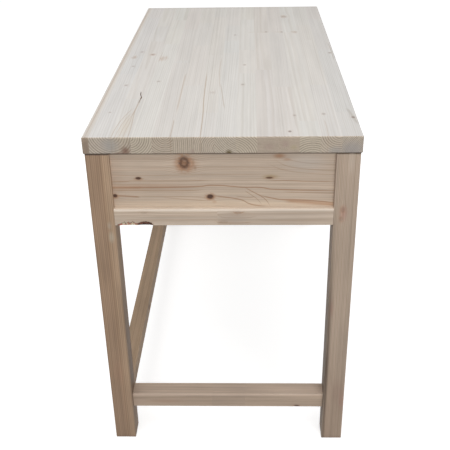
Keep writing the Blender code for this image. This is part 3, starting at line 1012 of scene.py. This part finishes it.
# How far along the bench, where across it, and half the width there
CRACK = [(214, 95.3, 0.25), (238, 96.3, 0.4), (244, 96.6, 1.2), (250, 97, 1.5),
         (259, 95.5, 0.8), (278, 91.5, 1.0), (296, 91, 0.3)]
CRACK_DEPTH = 2.0
# The lines that the face is cut along, a little past the crack on every side
CUTS_ALONG, CUTS_ACROSS = (210, 298, 2), (89, 99.4, 0.4)
WORKTOP_EASE = 2 * MM


def crack_at(along):
    """Where the crack is, and its half width, by straight lines between the points above."""
    for (a, middle_a, wide_a), (b, middle_b, wide_b) in zip(CRACK, CRACK[1:]):
        if a <= along <= b:
            share = (along - a) / (b - a)
            wander = 0.7 * noise.noise((along * 0.11, 7.7, 0))
            middle = middle_a + share * (middle_b - middle_a) + wander
            return middle, wide_a + share * (wide_b - wide_a)
    return None


name = f"top_stave_{CRACKED:02d}"
low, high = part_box(name)
bm = bar(low, high)
ease(bm, 1, WORKTOP_EASE)
slices(bm, 0, [LEFT_END + along * MM for along in steps(*CUTS_ALONG)])
slices(bm, 1, [BACK_EDGE - across * MM for across in steps(*CUTS_ACROSS)])
opened = set()
for vert in bm.verts:
    if vert.co.z < high.z - 1e-6:
        continue
    found = crack_at((vert.co.x - LEFT_END) / MM)
    if found:
        off = abs((BACK_EDGE - vert.co.y) / MM - found[0]) / found[1]
        if off < 1:
            vert.co.z -= CRACK_DEPTH * MM * (1 - off ** 2)
            opened.add(vert)
for face in bm.faces:
    if sum(vert in opened for vert in face.verts) >= 2:
        face.material_index = 1
old_dirt, shader, place = new_material("crack")
specks = place.noise((90, 900, 900), 3.0, 3.0)
skin = specks.ramp(0.35, 0.75).paint(colour(0.12, 0.08, 0.06), colour(0.34, 0.25, 0.19))
join(shader, Base_Color=skin, Roughness=specks * 0.2 + 0.8)
stand_in(bm, name, [stave_wood(CRACKED, name), old_dirt])
print("crack faces made for", name)

# %% [markdown]
# The screws that hold the worktop and the cleats are turned like a lathe turns them: one
# outline, from the middle of the head to the point, is spun round the axis. The thread is a
# row of ridges, and the drive is a round socket whose wall is then drawn into six lobes.

# %% Screws
HEAD_RADIUS = 4.5
ROOT_RADIUS = 1.6
THREAD_RADIUS = 2.2
THREAD_PITCH = 2.2
SOCKET_RADIUS = 2.1
SOCKET_DEPTH = 1.9
TURNS = 24


def screw_outline(length):
    """Radius and distance from the head's face, in millimetres, from the socket to the point."""
    points = [(0, SOCKET_DEPTH + 0.3), (SOCKET_RADIUS * 0.9, SOCKET_DEPTH), (SOCKET_RADIUS, 0.15),
              (SOCKET_RADIUS + 0.2, 0), (HEAD_RADIUS - 0.3, 0), (HEAD_RADIUS, 0.35),
              (HEAD_RADIUS - 0.2, 0.9), (THREAD_RADIUS, 3.2), (ROOT_RADIUS, 4.0)]
    place = 6.0
    while place < length - 4:
        points += [(ROOT_RADIUS, place), (THREAD_RADIUS, place + THREAD_PITCH * 0.4),
                   (ROOT_RADIUS, place + THREAD_PITCH * 0.8)]
        place += THREAD_PITCH
    return points + [(ROOT_RADIUS * 0.9, length - 2.5), (0, length)]


def screw_mesh(length):
    bm = bmesh.new()
    verts = [bm.verts.new((radius * MM, 0, place * MM)) for radius, place in screw_outline(length)]
    edges = [bm.edges.new(pair) for pair in zip(verts, verts[1:])]
    bmesh.ops.spin(
        bm, geom=verts + edges, cent=(0, 0, 0), axis=(0, 0, 1), angle=2 * math.pi,
        steps=TURNS, use_merge=True,
    )
    bmesh.ops.remove_doubles(bm, verts=bm.verts, dist=1e-6)
    for vert in bm.verts:
        radius = math.hypot(vert.co.x, vert.co.y)
        if 0 < radius < (SOCKET_RADIUS + 0.1) * MM and vert.co.z < (SOCKET_DEPTH + 0.1) * MM:
            lobe = 0.86 + 0.14 * math.cos(6 * math.atan2(vert.co.y, vert.co.x))
            vert.co.x *= lobe
            vert.co.y *= lobe
    return bm


zinc, shader, place = new_material("zinc")
bloom = place.noise((400, 400, 400), 1.0, 3.0)
skin = bloom.ramp(0.35, 0.7).paint(colour(0.60, 0.57, 0.50), colour(0.72, 0.70, 0.66))
join(shader, Base_Color=skin, Roughness=bloom * 0.3 + 0.25)
shader.inputs["Metallic"].default_value = 1.0

screws = sorted(name for name in nodes if "screw" in name)
for name in screws:
    low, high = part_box(name)
    size = high - low
    axis = max(range(3), key=lambda number: size[number])
    upright = axis == 2
    # A screw's head is on the side that a hand can reach, under the worktop or inside the frame
    head_low = upright or abs(low[axis]) < abs(high[axis])
    head = (low + high) / 2
    head[axis] = low[axis] if head_low else high[axis]
    way = Vector((0, 0, 0))
    way[axis] = 1 if head_low else -1
    bm = screw_mesh(size[axis] / MM)
    turn = Vector((0, 0, 1)).rotation_difference(way).to_matrix().to_4x4()
    bmesh.ops.transform(bm, matrix=Matrix.Translation(head) @ turn, verts=bm.verts)
    stand_in(bm, name, [zinc])
print(len(screws), "screws turned")

# %% [markdown]
# The floor is a plain white sheet that goes on past every edge of the view. It is white to
# the eye but greyer to the light that it throws back, so that it doesn't fill the shade
# under the bench. The light is a bright overcast sky: even from all round, stronger from
# above through one large soft lamp, with a second beside the left end like a window.

# %% Floor, sky and lamp
FLOOR_WHITE = 0.95
FLOOR_BOUNCE = 0.24
FLOOR_GLOW = 0.6
SKY = 0.42
LAMP_WATTS = 46
LAMP_SIDE = 3.0
LAMP_PLACE = (-0.6, 0.3, 3.2)
WINDOW_WATTS = 47
WINDOW_SIDE = 2.5
WINDOW_PLACE = (-3.6, -0.9, 1.6)
FLOOR_SIZE = 20

bm = bmesh.new()
bmesh.ops.create_grid(bm, x_segments=1, y_segments=1, size=FLOOR_SIZE)
floor = bpy.data.objects.new("floor", bpy.data.meshes.new("floor"))
bm.to_mesh(floor.data)
bm.free()
bpy.context.scene.collection.objects.link(floor)


def seen_as(path, seen, unseen):
    """One value for what the eye sees, in glass or metal too, and another for the light."""
    rays = path.tree.nodes.new("ShaderNodeLightPath")
    looks = [Wire(path.tree, rays.outputs[kind]) for kind in
             ("Is Camera Ray", "Is Glossy Ray", "Is Transmission Ray")]
    return looks[0].most(looks[1]).most(looks[2]) * (seen - unseen) + unseen


paper = bpy.data.materials.new("floor")
paper.use_nodes = True
shader = paper.node_tree.nodes["Principled BSDF"]
shader.inputs["Roughness"].default_value = 0.9
shader.inputs["Specular IOR Level"].default_value = 0.0
for socket, seen, unseen in (
    ("Base Color", FLOOR_WHITE, FLOOR_BOUNCE), ("Emission Color", FLOOR_GLOW, 0.0),
):
    level = seen_as(Wire(paper.node_tree, shader.outputs[0]), seen, unseen)
    white = level.node("CombineColor", None, {0: level, 1: level, 2: level})
    paper.node_tree.links.new(white.socket, shader.inputs[socket])
shader.inputs["Emission Strength"].default_value = 1.0
floor.data.materials.append(paper)

sky = bpy.data.worlds.new("sky")
sky.use_nodes = True
background = sky.node_tree.nodes["Background"]
background.inputs["Color"].default_value = colour(1, 1, 1)
level = seen_as(Wire(sky.node_tree, background.outputs[0]), 1.0, SKY)
sky.node_tree.links.new(level.socket, background.inputs["Strength"])
bpy.context.scene.world = sky


def soft_lamp(name, watts, side, place, aim):
    lamp = bpy.data.objects.new(name, bpy.data.lights.new(name, "AREA"))
    lamp.data.shape = "SQUARE"
    lamp.data.size = side
    lamp.data.energy = watts
    lamp.location = place
    lamp.rotation_euler = (Vector(aim) - Vector(place)).to_track_quat("-Z", "Y").to_euler()
    bpy.context.scene.collection.objects.link(lamp)


soft_lamp("overhead", LAMP_WATTS, LAMP_SIDE, LAMP_PLACE, (-0.2, 0, 0.8))
soft_lamp("window", WINDOW_WATTS, WINDOW_SIDE, WINDOW_PLACE, (-0.5, 0, 0.5))
bpy.context.scene.view_settings.view_transform = "Standard"
print("floor, sky and lamp ready")
